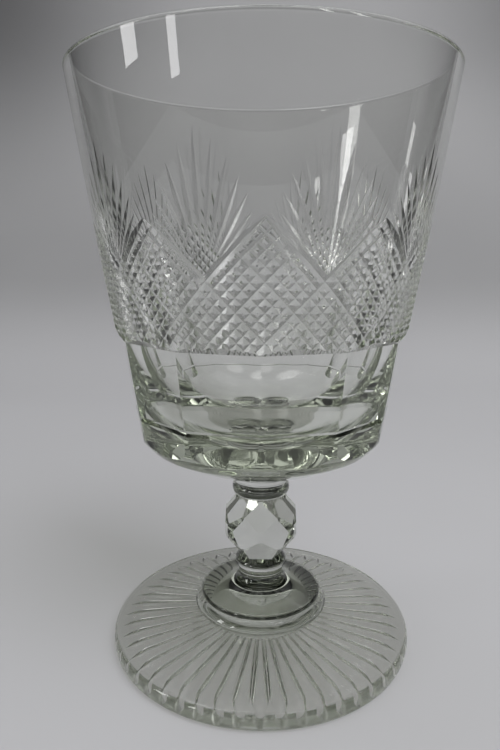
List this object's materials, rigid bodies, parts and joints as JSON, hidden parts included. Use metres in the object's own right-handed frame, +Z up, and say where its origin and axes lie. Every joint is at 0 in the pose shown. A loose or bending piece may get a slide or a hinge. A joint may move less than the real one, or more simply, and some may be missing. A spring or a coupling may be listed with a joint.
{
  "type": "rummer glass",
  "caption": "Footed drinking glass with a bucket bowl cut in fans, diamonds and flutes, a facet-cut knop, collars and a stepped round foot.",
  "frame": {"origin": "on the table, under the centre of the foot", "axes": "+Z up the glass's axis, out of the bowl's mouth; -Y is the front, where one edge between two flutes stands"},
  "size_m": [0.0944, 0.0944, 0.15],
  "materials": {
    "clear_glass": "polished"
  },
  "bodies": {
    "root": {"foot": "clear_glass", "foot_step": "clear_glass", "stem": "clear_glass", "lower_collar": "clear_glass", "knop": "clear_glass", "upper_collar": "clear_glass", "bowl": "clear_glass"}
  },
  "joints": []
}
